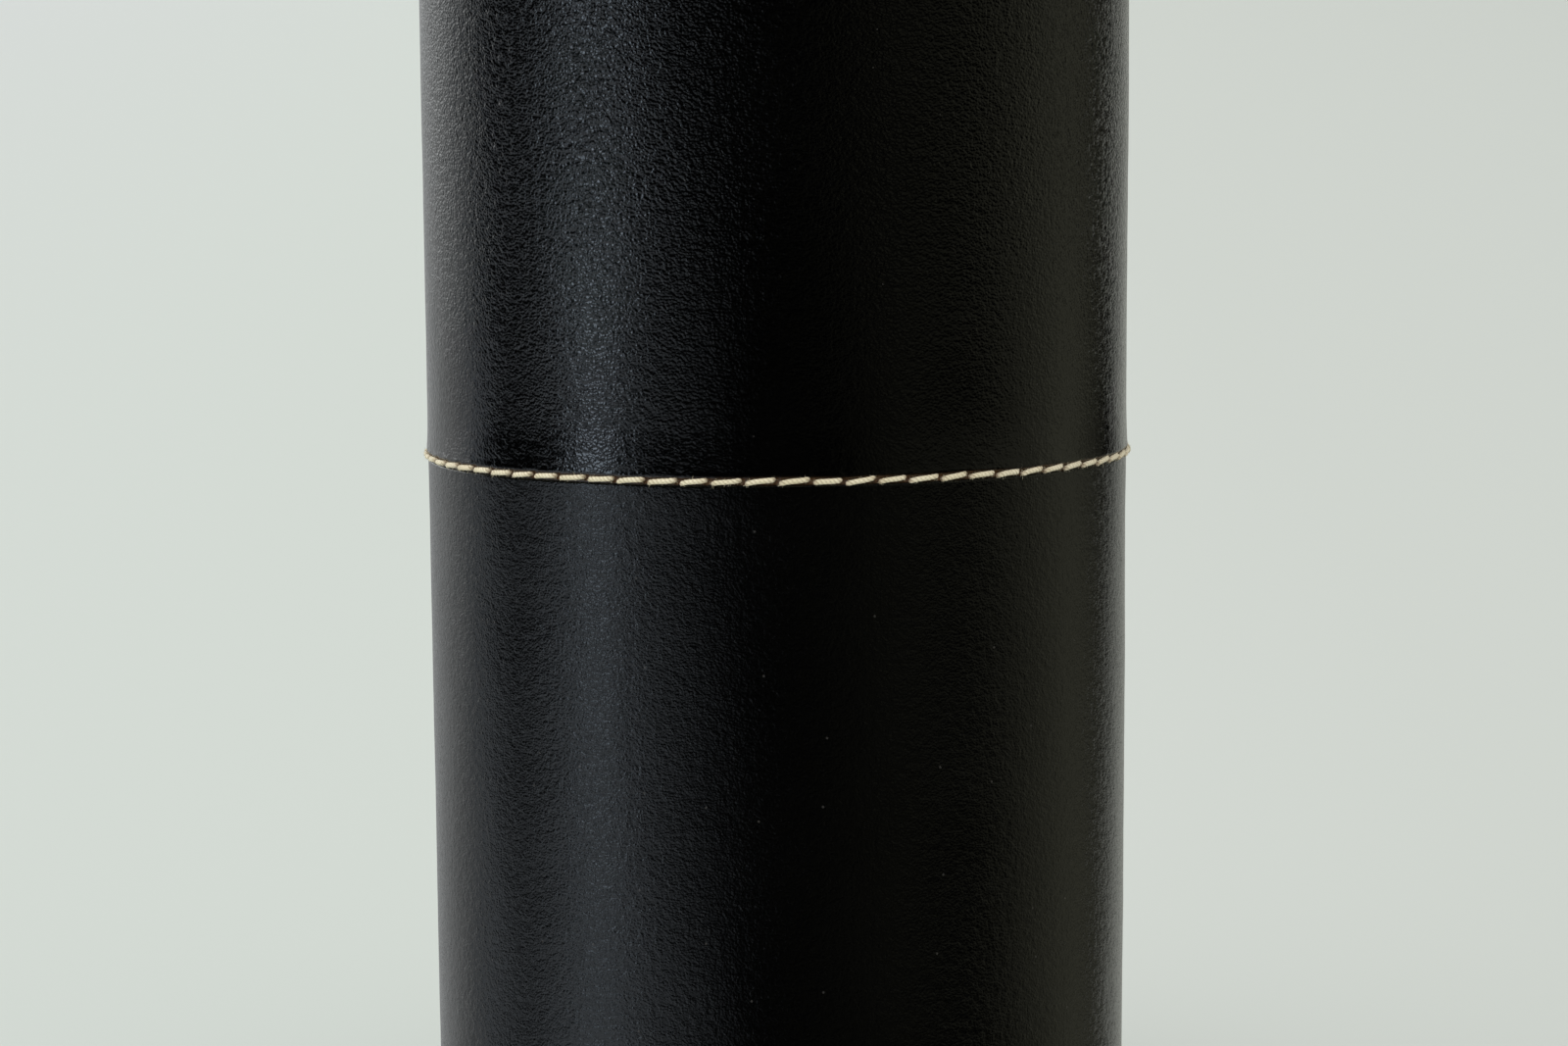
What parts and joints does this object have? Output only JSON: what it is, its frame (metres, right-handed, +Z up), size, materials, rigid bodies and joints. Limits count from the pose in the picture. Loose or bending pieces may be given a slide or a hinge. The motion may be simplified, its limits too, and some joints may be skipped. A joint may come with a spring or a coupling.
{
  "type": "dice cup",
  "caption": "Tall round dice cup of stiff board covered in two dark leather panels, saddle-stitched together at the waist and rim, with a felt-lined inside.",
  "frame": {"origin": "centre of the sole's underside, where the cup stands", "axes": "+Z up the cup's axis towards its open mouth, -Y towards the front, +Y towards the covers' closing seams at the back"},
  "size_m": [0.075, 0.075, 0.124],
  "materials": {
    "core_board": "matt fibreboard",
    "base_wood": "sanded birch plywood",
    "filler_card": "matt grey board",
    "sole_leather": "matt, lightly worn",
    "lower_leather": "fine grain, satin",
    "upper_leather": "pebbled, semi-gloss",
    "thread": "waxed linen",
    "lining_felt": "wool felt",
    "cork": "cork sheet"
  },
  "bodies": {
    "root": {"core_tube": "core_board", "base_board": "base_wood", "base_filler": "filler_card", "sole": "sole_leather", "lower_cover": "lower_leather", "upper_cover": "upper_leather", "waist_thread": "thread", "rim_thread": "thread", "upper_back_thread": "thread", "lower_back_thread": "thread", "lining_wall": "lining_felt", "floor_cushion": "cork", "lining_floor": "lining_felt"}
  },
  "joints": []
}
